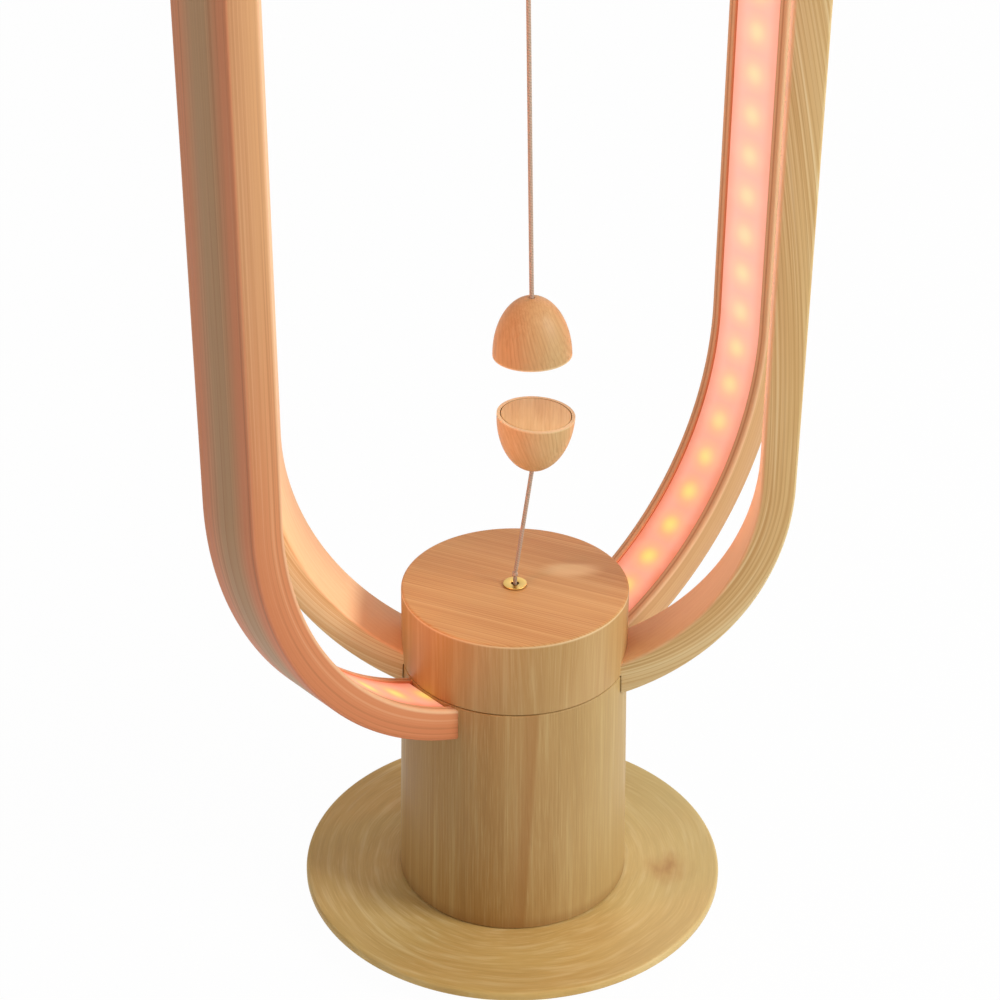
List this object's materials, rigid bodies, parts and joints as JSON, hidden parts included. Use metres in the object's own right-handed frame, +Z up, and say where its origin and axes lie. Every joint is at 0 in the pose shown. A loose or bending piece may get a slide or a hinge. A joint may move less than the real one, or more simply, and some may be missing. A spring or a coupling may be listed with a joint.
{
  "type": "magnetic balance lamp",
  "caption": "Table lamp of turned and bent wood: lit hoop on a column, plain hoop that turns inside it, and two magnetic half-egg bobs on cords, one pulling the switch.",
  "frame": {"origin": "On the floor, on the axis of the column", "axes": "+Z up along the column's axis; -Y towards the picture's camera; +X to the right in the picture; the plain hoop lies close to the XZ plane at rest"},
  "size_m": [0.1934, 0.179, 0.48],
  "materials": {
    "wood": "oiled pale wood, fine straight grain",
    "diffuser": "opal, lit warm from behind",
    "strip": "white flexible tape with yellow chips",
    "steel": "zinced",
    "brass": "satin",
    "magnet": "nickel plated",
    "black_plastic": "matte black",
    "board": "green laminate",
    "rubber": "matte black",
    "cord": "waxed twisted cord"
  },
  "bodies": {
    "stand": {"base_disc": "wood", "ballast_plate": "steel", "foot_pad": "rubber", "base_screw_1": "steel", "base_screw_2": "steel", "base_screw_3": "steel", "column_body": "wood", "power_inlet": "black_plastic", "inlet_pin": "brass", "driver_board": "board", "switch_plate": "black_plastic", "switch_housing": "black_plastic", "switch_contact_1": "brass", "switch_contact_2": "brass", "switch_spring": "steel", "pivot_bush": "brass", "led_hoop": "wood", "led_hoop_screw_1": "steel", "led_hoop_screw_2": "steel", "led_strip_1": "strip", "led_strip_2": "strip", "diffuser_1": "diffuser", "diffuser_2": "diffuser", "led_lead_1": "black_plastic", "led_lead_2": "black_plastic", "top_pivot_block": "brass", "top_screw": "steel"},
    "swing": {"turret": "wood", "swing_hoop": "wood", "swing_hoop_screw_1": "steel", "swing_hoop_screw_2": "steel", "pivot_tube": "steel", "flange_screw_1": "steel", "flange_screw_2": "steel", "flange_screw_3": "steel", "spring_washer": "steel", "pivot_nut": "steel", "cord_guide": "brass", "top_bush": "brass"},
    "upper_swivel": {"upper_knot": "cord"},
    "upper_pendulum": {"upper_cord": "cord", "upper_bob_shell": "wood", "upper_bob_magnet": "magnet", "upper_bob_inlay": "wood"},
    "slider": {"switch_slider": "black_plastic", "contact_bar": "brass", "pull_cord": "cord"},
    "lower_swivel": {"lower_knot": "cord"},
    "lower_tether": {"lower_cord": "cord"},
    "lower_bob": {"lower_bob_shell": "wood", "lower_bob_magnet": "magnet", "lower_bob_inlay": "wood"}
  },
  "joints": [
    {"name": "hoop_turn", "type": "hinge", "parent": "stand", "child": "swing", "pos_m": [0, 0, 0.1003], "axis": [0, 0, 1], "range_deg": [-91, 4]},
    {"name": "upper_swing_y", "type": "hinge", "parent": "swing", "child": "upper_swivel", "pos_m": [0, 0, 0.4464], "axis": [1, 0, 0], "range_deg": [-15, 15]},
    {"name": "upper_swing_x", "type": "hinge", "parent": "upper_swivel", "child": "upper_pendulum", "pos_m": [0, 0, 0.4464], "axis": [0, 1, 0], "range_deg": [-15, 15]},
    {"name": "switch_pull", "type": "slide", "parent": "stand", "child": "slider", "axis": [0, 0, 1], "range_m": [-0.002, 0], "deforming": ["switch_spring"]},
    {"name": "lower_swing_y", "type": "hinge", "parent": "slider", "child": "lower_swivel", "pos_m": [0, 0, 0.1331], "axis": [1, 0, 0], "range_deg": [-25, 25], "stiffness_Nm_per_rad": 0.03},
    {"name": "lower_swing_x", "type": "hinge", "parent": "lower_swivel", "child": "lower_tether", "pos_m": [0, 0, 0.1331], "axis": [0, 1, 0], "range_deg": [-25, 25], "stiffness_Nm_per_rad": 0.03},
    {"name": "bob_drop", "type": "slide", "parent": "lower_tether", "child": "lower_bob", "axis": [0, 0, 1], "range_m": [-0.038, 0], "deforming": ["lower_cord"]}
  ],
  "couplings": [
    {"joint": "switch_pull", "follows": "bob_drop", "ratio": 0.05}
  ]
}
